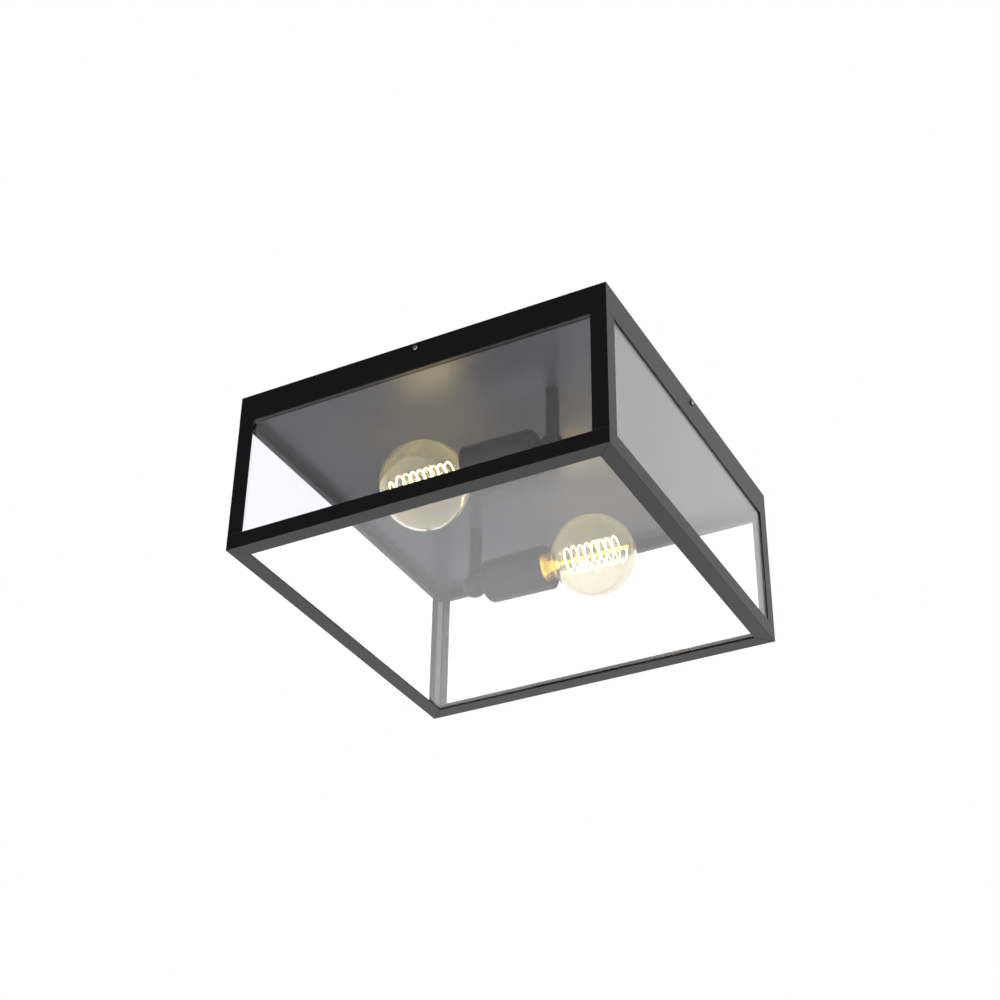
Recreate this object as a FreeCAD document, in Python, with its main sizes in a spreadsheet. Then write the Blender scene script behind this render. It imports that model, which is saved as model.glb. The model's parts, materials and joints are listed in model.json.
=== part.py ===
import FreeCAD, Part
import Sketcher
import math
import os

# Porch ceiling lantern: a square cage of mitred angle iron with five panes of
# glass, clamped by four side screws on a folded ceiling pan that carries two
# arms, each with a ball corner, a lampholder and a globe lamp.
# Origin: middle of the ceiling face. +Z up, everything hangs below Z = 0.
# Front is -Y, right is +X. Millimetres.

Vector = FreeCAD.Vector
Rotation = FreeCAD.Rotation
Placement = FreeCAD.Placement

doc = FreeCAD.newDocument("porch_ceiling_lantern")

SIZES = (
    # cage
    ("lantern_width", 360.0, "outer width of the cage, both ways"),
    ("lantern_height", 160.0, "ceiling to the underside of the base ring"),
    ("cage_sheet", 1.2, "thickness of the angle iron"),
    ("rail_height", 28.0, "outer face of the top rails"),
    ("rail_lip", 7.0, "inward lip of the top rails"),
    ("angle_leg", 15.0, "legs of the posts and of the base ring"),
    # glass
    ("pane_thick", 3.0, "side panes"),
    ("base_thick", 3.0, "base pane"),
    ("base_play", 0.5, "base pane to the ring, all round"),
    ("pane_play", 0.3, "side panes to each other and to the top lip"),
    ("bead_leg", 3.5, "leg of the silicone fillets"),
    # ceiling pan
    ("pan_play", 3.8, "clear space between top rail and pan"),
    ("pan_depth", 18.0, "depth of the folded pan"),
    ("pan_sheet", 1.2, "thickness of the pan"),
    ("pan_fold", 2.5, "outer radius of the pan's folds"),
    ("slot_spacing", 140.0, "ceiling slots, centre to centre"),
    ("slot_width", 5.5, "width of a ceiling slot"),
    ("slot_length", 16.0, "end to end length of a ceiling slot"),
    # side screws
    ("screw_drop", 6.0, "side screws below the ceiling"),
    ("screw_radius", 2.0, "M4 shank"),
    ("screw_play", 0.06, "radial play of the shank in rail and nut"),
    ("screw_tip_play", 0.05, "end of the shank to the pan"),
    ("screw_head_radius", 3.8, "button head"),
    ("screw_head_height", 2.2, "button head"),
    ("screw_crown", 1.7, "flat top of the button head"),
    ("socket_flats", 2.5, "hexagon recess across its flats"),
    ("socket_depth", 1.3, "hexagon recess"),
    ("weld_nut_side", 8.0, "square weld nut"),
    ("weld_nut_thick", 2.4, "square weld nut"),
    # arms
    ("arm_x", 85.0, "arms from the middle, left to right"),
    ("arm_y", 86.5, "arms from the middle, front to back"),
    ("arm_radius", 6.0, "arm tube"),
    ("arm_wall", 1.0, "arm tube"),
    ("lamp_drop", 78.5, "ceiling to the lamps' common axis plane"),
    ("nipple_radius", 4.95, "M10 all-thread nipple"),
    ("nipple_wall", 1.2, "nipple"),
    ("thread_play", 0.05, "nipple in a tapped bore"),
    ("hole_play", 0.15, "nipple in a clearance hole"),
    ("nipple_grip", 12.0, "nipple below the pan, inside the arm"),
    ("nut_flats", 14.0, "nipple nuts across flats"),
    ("nut_thick", 4.0, "nipple nuts on the pan"),
    ("thin_nut_thick", 3.0, "nipple nuts in the lampholders"),
    ("nut_stand", 0.5, "nipple past its nut on the pan"),
    ("washer_radius", 9.0, "washers under the nuts"),
    ("washer_thick", 1.0, "washers under the nuts"),
    # ball corner
    ("ball_radius", 11.5, "ball corner"),
    ("ball_neck_radius", 7.5, "ball corner's neck"),
    ("ball_reach", 14.0, "ball centre to the lampholder's back"),
    ("ball_seat", 6.0, "end of the arm above the ball's centre"),
    ("ball_tap", 9.0, "depth of the tapped bore from the neck's end"),
    ("wire_way_radius", 4.0, "bore for the leads"),
    # lampholder
    ("sleeve_length", 66.0, "lampholder sleeve"),
    ("sleeve_back_radius", 20.5, "sleeve at the back"),
    ("sleeve_mouth_radius", 21.5, "sleeve at the mouth"),
    ("sleeve_wall", 1.0, "sleeve"),
    ("sleeve_round", 5.0, "rounded shoulder of the sleeve"),
    ("insert_recess", 34.0, "sleeve's mouth to the insert's flange"),
    ("insert_flange", 8.0, "thickness of the insert's flange"),
    ("insert_play", 0.3, "insert's flange in the sleeve"),
    ("insert_floor", 6.0, "thickness of the insert's floor"),
    ("skirt_length", 24.0, "insert's skirt ahead of its flange"),
    ("skirt_wall", 1.9, "insert's skirt"),
    ("tie_screw_radius", 1.45, "M3 screws that hold the insert"),
    ("tie_screw_spread", 9.0, "those screws from the axis, level with it"),
    ("tie_head_radius", 2.3, "heads of those screws"),
    ("tie_head_height", 2.0, "heads of those screws"),
    ("shell_wall", 0.5, "threaded shell"),
    ("shell_lip", 1.6, "threaded shell's inward lip"),
    ("shell_flange", 0.8, "threaded shell's front flange"),
    ("tongue_wide", 6.0, "contact tongue"),
    ("tongue_thick", 0.5, "contact tongue"),
    ("tongue_root", 8.0, "root of the tongue below the axis"),
    ("tongue_pin_drop", 6.0, "rivet of the tongue below the axis"),
    ("tongue_pin_radius", 1.5, "rivet of the tongue"),
    # lamps
    ("lamp_recess", 3.5, "sleeve's mouth to the rim of the lamp's cap"),
    ("cap_radius", 13.1, "E27 cap"),
    ("cap_wall", 0.4, "E27 cap"),
    ("cap_straight", 21.0, "threaded length of the cap"),
    ("cap_taper", 2.5, "tapered end of the cap"),
    ("cap_end_radius", 9.6, "tapered end of the cap"),
    ("cap_insulator", 3.5, "insulator and tip behind the cap"),
    ("cap_play", 0.2, "cap in the threaded shell"),
    ("contact_play", 0.1, "lamp's tip to the tongue"),
    ("neck_radius", 12.6, "globe's neck inside the cap"),
    ("neck_depth", 8.0, "globe's neck inside the cap"),
    ("neck_fillet", 14.0, "hollow between neck and globe"),
    ("globe_radius", 40.0, "globe"),
    ("neck_bare", 3.006, "straight neck between the cap's rim and the hollow"),
    ("globe_wall", 1.0, "glass of the globe"),
    ("rod_radius", 1.5, "glass rod on the lamp's axis"),
    ("rod_end", 4.0, "rod's end to the globe's inside"),
    ("coil_radius", 12.5, "spiral filament"),
    ("coil_pitch", 7.0, "spiral filament"),
    ("coil_turns", 8.0, "spiral filament"),
    ("coil_wire", 0.6, "radius of the filament"),
    # terminal block and earth
    ("block_long", 34.0, "terminal block"),
    ("block_deep", 18.0, "terminal block"),
    ("block_tall", 12.0, "terminal block"),
    ("pole_pitch", 10.0, "terminal to terminal"),
    ("pole_radius", 2.7, "brass terminal tube"),
    ("pole_bore", 1.7, "wire way of a terminal tube"),
    ("pole_play", 0.1, "terminal tube in the block"),
    ("clamp_radius", 1.2, "terminal screws"),
    ("clamp_spread", 5.0, "terminal screws from the block's middle"),
    ("clamp_sink", 1.0, "terminal screws below the block's top"),
    ("stud_radius", 1.5, "weld studs on the pan"),
    ("stud_play", 0.15, "stud in the block"),
    ("stud_nut_flats", 5.5, "nuts on the studs"),
    ("stud_nut_thick", 2.4, "nuts on the studs"),
    ("earth_y", 26.0, "earth stud behind the block"),
    ("earth_stud_radius", 2.0, "M4 earth stud"),
    ("earth_nut_flats", 7.0, "earth nut"),
    ("earth_washer_radius", 4.5, "earth washers"),
)

sheet = doc.addObject("Spreadsheet::Sheet", "Sizes")
for row, (alias, number, note) in enumerate(SIZES, start=1):
    sheet.set("A%d" % row, alias)
    sheet.set("B%d" % row, str(number))
    sheet.set("C%d" % row, note)
    sheet.setAlias("B%d" % row, alias)
doc.recompute()


class Size:
    """A length with the sheet formula that gives it."""

    def __init__(self, value, formula):
        self.value = float(value)
        self.formula = formula

    def __add__(self, other):
        other = size(other)
        return Size(self.value + other.value, "(%s + %s)" % (self.formula, other.formula))

    def __sub__(self, other):
        other = size(other)
        return Size(self.value - other.value, "(%s - %s)" % (self.formula, other.formula))

    def __mul__(self, other):
        other = size(other)
        return Size(self.value * other.value, "(%s * %s)" % (self.formula, other.formula))

    def __truediv__(self, other):
        other = size(other)
        return Size(self.value / other.value, "(%s / %s)" % (self.formula, other.formula))

    def __radd__(self, other):
        return size(other) + self

    def __rsub__(self, other):
        return size(other) - self

    def __rmul__(self, other):
        return size(other) * self

    def __neg__(self):
        return Size(-self.value, "(0 - %s)" % self.formula)


def size(number):
    return number if isinstance(number, Size) else Size(number, "%.6g" % number)


def root(number):
    return Size(math.sqrt(number.value), "sqrt(%s)" % number.formula)


class Sheet:
    """Reads a named size: D.pan_depth is the cell with the alias pan_depth."""

    def __getattr__(self, alias):
        return Size(sheet.get(alias), "Sizes." + alias)


D = Sheet()


# ---------------------------------------------------------------- helpers

def bind(feature, name, amount):
    amount = size(amount)
    setattr(feature, name, amount.value)
    feature.setExpression(name, amount.formula)


def new_body(label):
    body = doc.addObject("PartDesign::Body", label)
    body.Label = label
    body.AllowCompound = True
    return body


def new_sketch(body, role, offset=None):
    """A sketch on one of the body's own planes: XY, XZ (seen from the front) or YZ."""
    sketch = body.newObject("Sketcher::SketchObject", "Outline")
    plane = [f for f in body.Origin.OriginFeatures if f.Role == role + "_Plane"][0]
    sketch.AttachmentSupport = [(plane, "")]
    sketch.MapMode = "FlatFace"
    if offset is not None:
        sketch.AttachmentOffset = Placement(Vector(0, 0, offset.value), Rotation())
        sketch.setExpression("AttachmentOffset.Base.z", offset.formula)
    return sketch


def fix(sketch, kind, geometry, point, amount):
    amount = size(amount)
    index = sketch.addConstraint(Sketcher.Constraint(kind, -1, 1, geometry, point, amount.value))
    sketch.setExpression("Constraints[%d]" % index, amount.formula)


def fix_radius(sketch, geometry, radius):
    radius = size(radius)
    index = sketch.addConstraint(Sketcher.Constraint("Radius", geometry, radius.value))
    sketch.setExpression("Constraints[%d]" % index, radius.formula)


def draw_outline(sketch, corners):
    """A closed outline. A corner is (x, y), or (x, y, r) where an arc of radius r
    leads on to the next corner: r > 0 turns left, r < 0 turns right. A half circle
    adds its centre's x."""
    corners = [tuple(size(c) for c in corner) for corner in corners]
    first = sketch.GeometryCount
    ends = []
    for i, corner in enumerate(corners):
        after = corners[(i + 1) % len(corners)]
        p = Vector(corner[0].value, corner[1].value, 0)
        q = Vector(after[0].value, after[1].value, 0)
        if len(corner) == 2:
            sketch.addGeometry(Part.LineSegment(p, q))
            ends.append((first + i, 1, 2))
            continue
        radius = corner[2]
        left = radius.value > 0
        r = abs(radius.value)
        along = q - p
        normal = Vector(-along.y, along.x, 0).normalize() * (1 if left else -1)
        centre = (p + q) * 0.5 + normal * math.sqrt(max(r * r - along.Length ** 2 / 4, 0))
        a, b = (p, q) if left else (q, p)
        start = math.atan2(a.y - centre.y, a.x - centre.x)
        stop = math.atan2(b.y - centre.y, b.x - centre.x)
        if stop < start:
            stop += 2 * math.pi
        circle = Part.Circle(centre, Vector(0, 0, 1), r)
        sketch.addGeometry(Part.ArcOfCircle(circle, start, stop))
        ends.append((first + i, 1, 2) if left else (first + i, 2, 1))
        if len(corner) == 4:
            fix(sketch, "DistanceX", first + i, 3, corner[3])
        else:
            fix_radius(sketch, first + i, radius if left else -radius)
    for i, (line, begin, end) in enumerate(ends):
        after = ends[(i + 1) % len(ends)]
        sketch.addConstraint(Sketcher.Constraint("Coincident", line, end, after[0], after[1]))
        fix(sketch, "DistanceX", line, begin, corners[i][0])
        fix(sketch, "DistanceY", line, begin, corners[i][1])


def draw_circle(sketch, x, y, radius):
    x, y, radius = size(x), size(y), size(radius)
    index = sketch.addGeometry(Part.Circle(Vector(x.value, y.value, 0), Vector(0, 0, 1), radius.value))
    fix(sketch, "DistanceX", index, 3, x)
    fix(sketch, "DistanceY", index, 3, y)
    fix_radius(sketch, index, radius)


def draw_rectangle(sketch, x0, y0, x1, y1):
    draw_outline(sketch, [(x0, y0), (x1, y0), (x1, y1), (x0, y1)])


def draw_hexagon(sketch, x, y, flats):
    """A hexagon with two flats upright."""
    half = size(flats) / 2
    corner = half * (2 / math.sqrt(3))
    side = corner / 2
    draw_outline(sketch, [(x + half, y - side), (x + half, y + side), (x + 0 * half, y + corner),
                          (x - half, y + side), (x - half, y - side), (x + 0 * half, y - corner)])


def draw_slot(sketch, x, y, length, width):
    """A round-ended slot along x."""
    run = (length - width) / 2
    half = width / 2
    draw_outline(sketch, [(x - run, y - half), (x + run, y - half, half, x + run),
                          (x + run, y + half), (x - run, y + half, half, x - run)])


def pad(body, sketch, length, both=False, down=False):
    feature = body.newObject("PartDesign::Pad", "Pad")
    feature.Profile = sketch
    bind(feature, "Length", length)
    if both:
        feature.SideType = "Symmetric"
    feature.Reversed = down
    doc.recompute()
    return feature


def pocket(body, sketch, length=None, both=False, back=False):
    """Cuts against the sketch's normal; back cuts along it; no length cuts through."""
    before = body.Shape.Volume
    feature = body.newObject("PartDesign::Pocket", "Pocket")
    feature.Profile = sketch
    if length is None:
        feature.Type = "ThroughAll"
    else:
        bind(feature, "Length", length)
    if both:
        feature.SideType = "Symmetric"
    feature.Reversed = back
    doc.recompute()
    if not body.Shape.Volume < before:
        raise RuntimeError("a pocket of %s cuts nothing: %s" % (body.Label, feature.State))
    return feature


def revolve(body, sketch, axis="H_Axis"):
    feature = body.newObject("PartDesign::Revolution", "Revolution")
    feature.Profile = sketch
    feature.ReferenceAxis = (sketch, [axis])
    feature.Angle = 360
    doc.recompute()
    return feature


def place(thing, x=0, y=0, z=0, turn=0):
    x, y, z = size(x), size(y), size(z)
    thing.Placement = Placement(Vector(x.value, y.value, z.value),
                                Rotation(Vector(0, 0, 1), turn))
    thing.setExpression("Placement.Base.x", x.formula)
    thing.setExpression("Placement.Base.y", y.formula)
    thing.setExpression("Placement.Base.z", z.formula)
    return thing


def gather(label, pieces):
    """Loose pieces of one kind under one name."""
    group = doc.addObject("Part::Compound", label)
    group.Label = label
    group.Links = pieces
    return group


nodes = []


def keep(*things):
    nodes.extend(things)


def ring(label, outer, inner, length):
    """A tube standing on its own XY plane."""
    body = new_body(label)
    sketch = new_sketch(body, "XY")
    draw_circle(sketch, 0, 0, outer)
    draw_circle(sketch, 0, 0, inner)
    pad(body, sketch, length)
    return body


def hex_nut(label, flats, bore, thick):
    body = new_body(label)
    sketch = new_sketch(body, "XY")
    draw_hexagon(sketch, size(0), size(0), flats)
    draw_circle(sketch, 0, 0, bore)
    pad(body, sketch, thick)
    return body


# ------------------------------------------------- derived sizes, cage frame

half_width = D.lantern_width / 2
web_inside = half_width - D.cage_sheet          # inner face of rails, posts, ring
pane_outside = web_inside                       # panes lie against the angle iron
pane_inside = pane_outside - D.pane_thick
pan_half = web_inside - D.pan_play
rail_foot = -D.rail_height                      # underside of the top rails
ring_foot = -D.lantern_height
ring_head = ring_foot + D.angle_leg
base_foot = ring_foot + D.cage_sheet            # base pane rests on the ring
base_head = base_foot + D.base_thick
pane_head = rail_foot - D.pane_play

TURNS = (("front", 0), ("right", 90), ("back", 180), ("left", 270))


# ------------------------------------------------------------ ceiling pan

ceiling_pan = new_body("ceiling_pan")
outline = new_sketch(ceiling_pan, "XY")
draw_rectangle(outline, -pan_half, -pan_half, pan_half, pan_half)
pad(ceiling_pan, outline, D.pan_depth)
block = ceiling_pan.Tip

folds = ceiling_pan.newObject("PartDesign::Fillet", "Folds")
folds.Base = (block, ["Edge%d" % (i + 1) for i, e in enumerate(block.Shape.Edges)
                      if e.BoundBox.ZMin < D.pan_depth.value - 0.01])
bind(folds, "Radius", D.pan_fold)
doc.recompute()

tray = ceiling_pan.newObject("PartDesign::Thickness", "Tray")
tray.Base = (folds, ["Face%d" % (i + 1) for i, f in enumerate(folds.Shape.Faces)
                     if f.BoundBox.ZMin > D.pan_depth.value - 0.01])
bind(tray, "Value", D.pan_sheet)
tray.Reversed = True
doc.recompute()

outline = new_sketch(ceiling_pan, "XY")
arm_hole = D.nipple_radius + D.hole_play
draw_circle(outline, D.arm_x, -D.arm_y, arm_hole)
draw_circle(outline, -D.arm_x, D.arm_y, arm_hole)
for side in (-1, 1):
    draw_slot(outline, D.slot_spacing * (side / 2), size(0), D.slot_length, D.slot_width)
pocket(ceiling_pan, outline, D.pan_sheet * 2, back=True)
keep(place(ceiling_pan, z=-D.pan_depth))

pan_floor = D.pan_sheet - D.pan_depth           # upper side of the pan's floor


# ------------------------------------------------------------------- arms

# Each arm with its lampholder is drawn once about the ball's centre, with the
# lamp towards +x, and set down twice: the front one is turned to face -X.
SETS = (("1", D.arm_x, -D.arm_y, 180), ("2", -D.arm_x, D.arm_y, 0))
ball_centre = -D.lamp_drop


def both_sets(label, maker):
    return gather(label, [piece for name, x, y, turn in SETS for piece in maker(name, x, y, turn)])


nipple_bore = D.nipple_radius - D.nipple_wall
tapped = D.nipple_radius + D.thread_play
washer_foot = pan_floor
nut_foot = washer_foot + D.washer_thick
nipple_head = nut_foot + D.nut_thick + D.nut_stand
nipple_foot = -D.pan_depth - D.nipple_grip

for name, x, y, turn in SETS:
    tube = ring("arm_tube_" + name, D.arm_radius, D.arm_radius - D.arm_wall,
                D.lamp_drop - D.ball_seat - D.pan_depth)
    keep(place(tube, x, y, ball_centre + D.ball_seat))

keep(both_sets("arm_nipples", lambda name, x, y, turn: [
    place(ring("arm_nipple_" + name, D.nipple_radius, nipple_bore, nipple_head - nipple_foot),
          x, y, nipple_foot)]))
keep(both_sets("arm_washers", lambda name, x, y, turn: [
    place(ring("arm_washer_" + name, D.washer_radius, arm_hole, D.washer_thick), x, y, washer_foot)]))
keep(both_sets("arm_nuts", lambda name, x, y, turn: [
    place(hex_nut("arm_nut_" + name, D.nut_flats, tapped, D.nut_thick), x, y, nut_foot)]))


# ----------------------------------------------------------- ball corners

def ball_corner(label):
    """A turned ball with a neck, bored for the arm and tapped for the nipple."""
    body = new_body(label)
    outline = new_sketch(body, "XZ")
    shoulder = root(D.ball_radius * D.ball_radius - D.ball_neck_radius * D.ball_neck_radius)
    draw_outline(outline, [(D.ball_reach, 0), (D.ball_reach, D.ball_neck_radius),
                           (shoulder, D.ball_neck_radius, D.ball_radius),
                           (-D.ball_radius, 0)])
    revolve(body, outline)
    seat = new_sketch(body, "XY", D.ball_radius)
    draw_circle(seat, 0, 0, D.arm_radius + D.thread_play)
    pocket(body, seat, D.ball_radius - D.ball_seat)
    way = new_sketch(body, "XY", D.ball_radius)
    draw_circle(way, 0, 0, D.wire_way_radius)
    pocket(body, way, D.ball_radius + D.wire_way_radius)
    tap = new_sketch(body, "YZ", D.ball_reach)
    draw_circle(tap, 0, 0, tapped)
    pocket(body, tap, D.ball_tap)
    way = new_sketch(body, "YZ", D.ball_reach)
    draw_circle(way, 0, 0, nipple_bore)
    pocket(body, way, D.ball_reach)
    return body


for name, x, y, turn in SETS:
    keep(place(ball_corner("corner_ball_" + name), x, y, ball_centre, turn))


# ------------------------------------------------------------ lampholders

sleeve_back = D.ball_reach
sleeve_mouth = sleeve_back + D.sleeve_length
back_inside = sleeve_back + D.sleeve_wall
back_nipple_end = back_inside + D.thin_nut_thick + D.washer_thick
insert_front = sleeve_mouth - D.insert_recess   # front of the insert's flange
insert_back = insert_front - D.insert_flange
floor_front = insert_back + D.insert_floor
skirt_front = insert_front + D.skirt_length
shell_outer = D.cap_radius + D.cap_play + D.shell_wall
skirt_inner = shell_outer + D.insert_play
skirt_outer = skirt_inner + D.skirt_wall
lamp_rim = sleeve_mouth - D.lamp_recess
cap_end = D.cap_straight + D.cap_taper
hollow_rise = D.neck_radius + D.neck_fillet     # lamp's axis to the centre of the hollow's arc
hollow_reach = D.globe_radius + D.neck_fillet   # that centre to the globe's
hollow_run = root(hollow_reach * hollow_reach - hollow_rise * hollow_rise)
globe_ahead = D.neck_bare + hollow_run          # cap's rim to the globe's centre
lamp_tip = lamp_rim - cap_end - D.cap_insulator


def lying_ring(label, outer, inner, start, stop):
    """A tube along x."""
    body = new_body(label)
    outline = new_sketch(body, "YZ", start)
    draw_circle(outline, 0, 0, outer)
    draw_circle(outline, 0, 0, inner)
    pad(body, outline, stop - start)
    return body


def lampholder_sleeve(label):
    """A spun cup, a little wider at its mouth, with a rounded back."""
    body = new_body(label)
    outline = new_sketch(body, "XZ")
    bend = D.sleeve_round
    bend_inside = D.sleeve_round - D.sleeve_wall
    hole = D.nipple_radius + D.hole_play
    draw_outline(outline, [
        (sleeve_back, hole),
        (back_inside, hole),
        (back_inside, D.sleeve_back_radius - bend, -bend_inside),
        (sleeve_back + bend, D.sleeve_back_radius - D.sleeve_wall),
        (sleeve_mouth, D.sleeve_mouth_radius - D.sleeve_wall),
        (sleeve_mouth, D.sleeve_mouth_radius),
        (sleeve_back + bend, D.sleeve_back_radius, bend),
        (sleeve_back, D.sleeve_back_radius - bend)])
    revolve(body, outline)
    return body


def lampholder_insert(label):
    """The moulded insert: a flange, a floor and a skirt round the shell."""
    body = new_body(label)
    outline = new_sketch(body, "XZ")
    flange = D.sleeve_back_radius - D.sleeve_wall - D.insert_play
    draw_outline(outline, [
        (insert_back, 0), (floor_front, 0), (floor_front, skirt_inner),
        (skirt_front, skirt_inner), (skirt_front, skirt_outer),
        (insert_front, skirt_outer), (insert_front, flange), (insert_back, flange)])
    revolve(body, outline)
    holes = new_sketch(body, "YZ", insert_front)
    draw_circle(holes, 0, -D.tongue_pin_drop, D.tongue_pin_radius + D.thread_play)
    for side in (-1, 1):
        draw_circle(holes, D.tie_screw_spread * side, 0, D.tie_screw_radius + D.hole_play)
    pocket(body, holes, D.insert_flange + 1)
    return body


def thread_shell(label):
    """The brass shell that takes the cap, with a lip behind and a flange in front."""
    body = new_body(label)
    outline = new_sketch(body, "XZ")
    inner = D.cap_radius + D.cap_play
    start = floor_front + D.insert_play
    front = skirt_front + D.shell_flange
    brim = skirt_inner + D.shell_wall
    draw_outline(outline, [
        (start, inner - D.shell_lip), (start + D.shell_wall, inner - D.shell_lip),
        (start + D.shell_wall, inner), (front, inner), (front, brim),
        (skirt_front, brim), (skirt_front, shell_outer), (start, shell_outer)])
    revolve(body, outline)
    return body


def contact_tongue(label):
    """A bent spring leaf riveted through the floor, its crest at the lamp's tip."""
    body = new_body(label)
    leaf = new_sketch(body, "XZ")
    t = D.tongue_thick
    crest = lamp_tip - D.contact_play
    draw_outline(leaf, [
        (floor_front, -D.tongue_root), (floor_front + t, -D.tongue_root),
        (floor_front + t, -D.tongue_root / 2), (crest, -t * 1.6), (crest, t * 1.6),
        (crest - t * 3.6, t * 9.2), (crest - t * 4.6, t * 8.8), (crest - t, t * 1.2),
        (crest - t, -t), (floor_front, t - D.tongue_root / 2)])
    pad(body, leaf, D.tongue_wide, both=True)
    rivet = new_sketch(body, "YZ", insert_back)
    draw_circle(rivet, 0, -D.tongue_pin_drop, D.tongue_pin_radius)
    pad(body, rivet, D.insert_floor + t * 2)
    return body


def tie_screw(label, side):
    """A long screw from the insert's floor to the back of the sleeve."""
    body = new_body(label)
    shank = new_sketch(body, "YZ", back_inside)
    draw_circle(shank, D.tie_screw_spread * side, 0, D.tie_screw_radius)
    pad(body, shank, floor_front - back_inside + D.tie_head_height / 2)
    head = new_sketch(body, "YZ", floor_front)
    draw_circle(head, D.tie_screw_spread * side, 0, D.tie_head_radius)
    pad(body, head, D.tie_head_height)
    return body


for name, x, y, turn in SETS:
    for label, maker in (("lampholder_sleeve_", lampholder_sleeve),
                         ("lampholder_insert_", lampholder_insert),
                         ("thread_shell_", thread_shell),
                         ("contact_tongue_", contact_tongue)):
        keep(place(maker(label + name), x, y, ball_centre, turn))

keep(both_sets("holder_nipples", lambda name, x, y, turn: [
    place(lying_ring("holder_nipple_" + name, D.nipple_radius, nipple_bore,
                     D.ball_reach - D.ball_tap + D.hole_play * 2, back_nipple_end),
          x, y, ball_centre, turn)]))


def holder_nut(label):
    body = new_body(label)
    outline = new_sketch(body, "YZ", back_inside)
    draw_hexagon(outline, size(0), size(0), D.nut_flats)
    draw_circle(outline, 0, 0, tapped)
    pad(body, outline, D.thin_nut_thick)
    return body


keep(both_sets("holder_nuts", lambda name, x, y, turn: [
    place(holder_nut("holder_nut_" + name), x, y, ball_centre, turn)]))
keep(both_sets("insert_screws", lambda name, x, y, turn: [
    place(tie_screw("insert_screw_%s_%d" % (name, n), side), x, y, ball_centre, turn)
    for n, side in ((1, -1), (2, 1))]))


# ------------------------------------------------------------------ lamps

def lamp_cap(label):
    """The screw cap's metal shell; x = 0 at its rim."""
    body = new_body(label)
    outline = new_sketch(body, "XZ")
    inner = D.cap_radius - D.cap_wall
    draw_outline(outline, [
        (0, inner), (0, D.cap_radius), (-D.cap_straight, D.cap_radius),
        (-cap_end, D.cap_end_radius), (-cap_end, D.cap_end_radius - D.cap_wall),
        (-D.cap_straight, inner)])
    revolve(body, outline)
    return body


def lamp_insulator(label):
    """Black glass behind the cap, with the solder tip."""
    body = new_body(label)
    outline = new_sketch(body, "XZ")
    back = -cap_end
    tip = back - D.cap_insulator
    draw_outline(outline, [
        (back, 0), (back, D.cap_end_radius), (back - D.cap_insulator * 0.6, D.cap_end_radius * 0.54),
        (back - D.cap_insulator * 0.8, D.cap_end_radius * 0.54), (tip, D.cap_end_radius * 0.4), (tip, 0)])
    revolve(body, outline)
    return body


def lamp_globe(label):
    """Blown globe: a straight neck, a hollow, then the sphere, one wall thick."""
    body = new_body(label)
    outline = new_sketch(body, "XZ")
    hollow = D.neck_bare
    far = globe_ahead + D.globe_radius
    wall = D.globe_wall

    def touch(radius):
        return (globe_ahead - hollow_run * radius / hollow_reach, hollow_rise * radius / hollow_reach)

    x_in, y_in = touch(D.globe_radius - wall)
    x_out, y_out = touch(D.globe_radius)
    draw_outline(outline, [
        (-D.neck_depth, D.neck_radius - wall),
        (hollow, D.neck_radius - wall, D.neck_fillet + wall),
        (x_in, y_in, wall - D.globe_radius),
        (far - wall, 0), (far, 0, D.globe_radius),
        (x_out, y_out, -D.neck_fillet),
        (hollow, D.neck_radius), (-D.neck_depth, D.neck_radius)])
    revolve(body, outline)
    return body


def lamp_stem(label):
    """Pressed glass stem closing the neck, drawn out to a rod on the axis."""
    body = new_body(label)
    outline = new_sketch(body, "XZ")
    flare = D.neck_radius - D.globe_wall - D.hole_play
    far = globe_ahead + D.globe_radius - D.globe_wall - D.rod_end
    draw_outline(outline, [
        (-D.neck_depth, 0), (far, 0), (far, D.rod_radius),
        (flare * 1.2, D.rod_radius), (flare, flare * 0.36), (0, flare * 0.5),
        (-D.neck_depth * 0.8, flare), (-D.neck_depth, flare)])
    revolve(body, outline)
    return body


def bend_pair(p, s, q, t):
    """Two arcs, tangent to each other, from p heading s to q heading t."""
    span = q - p
    both = s + t
    turn = 2 * (1 - s.dot(t))
    lean = span.dot(both)
    if turn < 1e-9:
        reach = span.Length ** 2 / (2 * lean)
    else:
        reach = (math.sqrt(lean * lean + turn * span.Length ** 2) - lean) / turn
    middle = (p + q + (s - t) * reach) * 0.5
    arcs = []
    for a, heading, b in ((p, s, middle), (middle, None, q)):
        corner = a + s * reach if heading is not None else b - t * reach
        half_chord = (b - a) * 0.5
        foot = a + half_chord
        rise = (corner - foot).Length
        angle = math.atan2(rise, half_chord.Length)
        crown = foot + (corner - foot) * (math.tan(angle / 2) / math.tan(angle))
        arcs.append((Part.Arc(a, crown, b), half_chord.Length / math.sin(angle)))
    return arcs


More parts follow.
